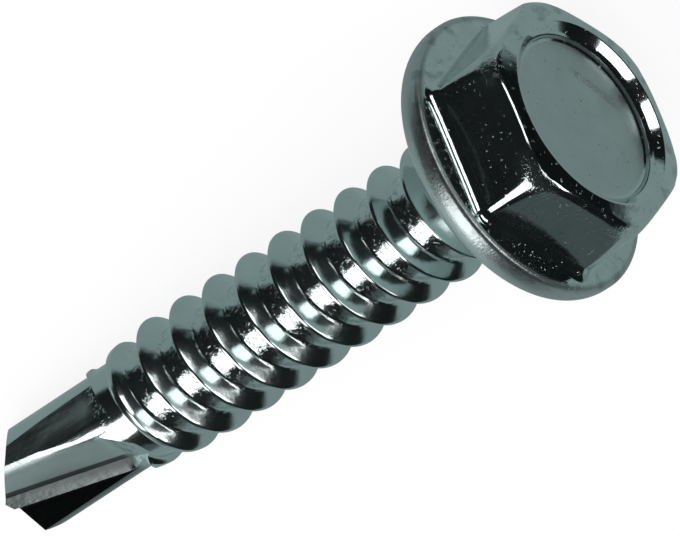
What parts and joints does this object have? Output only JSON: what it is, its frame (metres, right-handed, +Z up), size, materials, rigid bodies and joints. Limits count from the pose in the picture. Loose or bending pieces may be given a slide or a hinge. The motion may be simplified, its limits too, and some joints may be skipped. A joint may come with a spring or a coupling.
{
  "type": "self drilling screw",
  "caption": "Zinc plated hex washer head self drilling screw with a fluted drill point, lying on its side.",
  "frame": {"origin": "centre of the bearing face under the flange, on the screw's axis", "axes": "+Z up from the table that the screw lies on; +X towards the head, with the axis raised 9.6 degrees above the table at the head end; +Y level, square to the screw"},
  "size_m": [0.0288, 0.0104, 0.0104],
  "materials": {
    "zinc": "satin"
  },
  "bodies": {
    "root": {"screw": "zinc"}
  },
  "joints": []
}
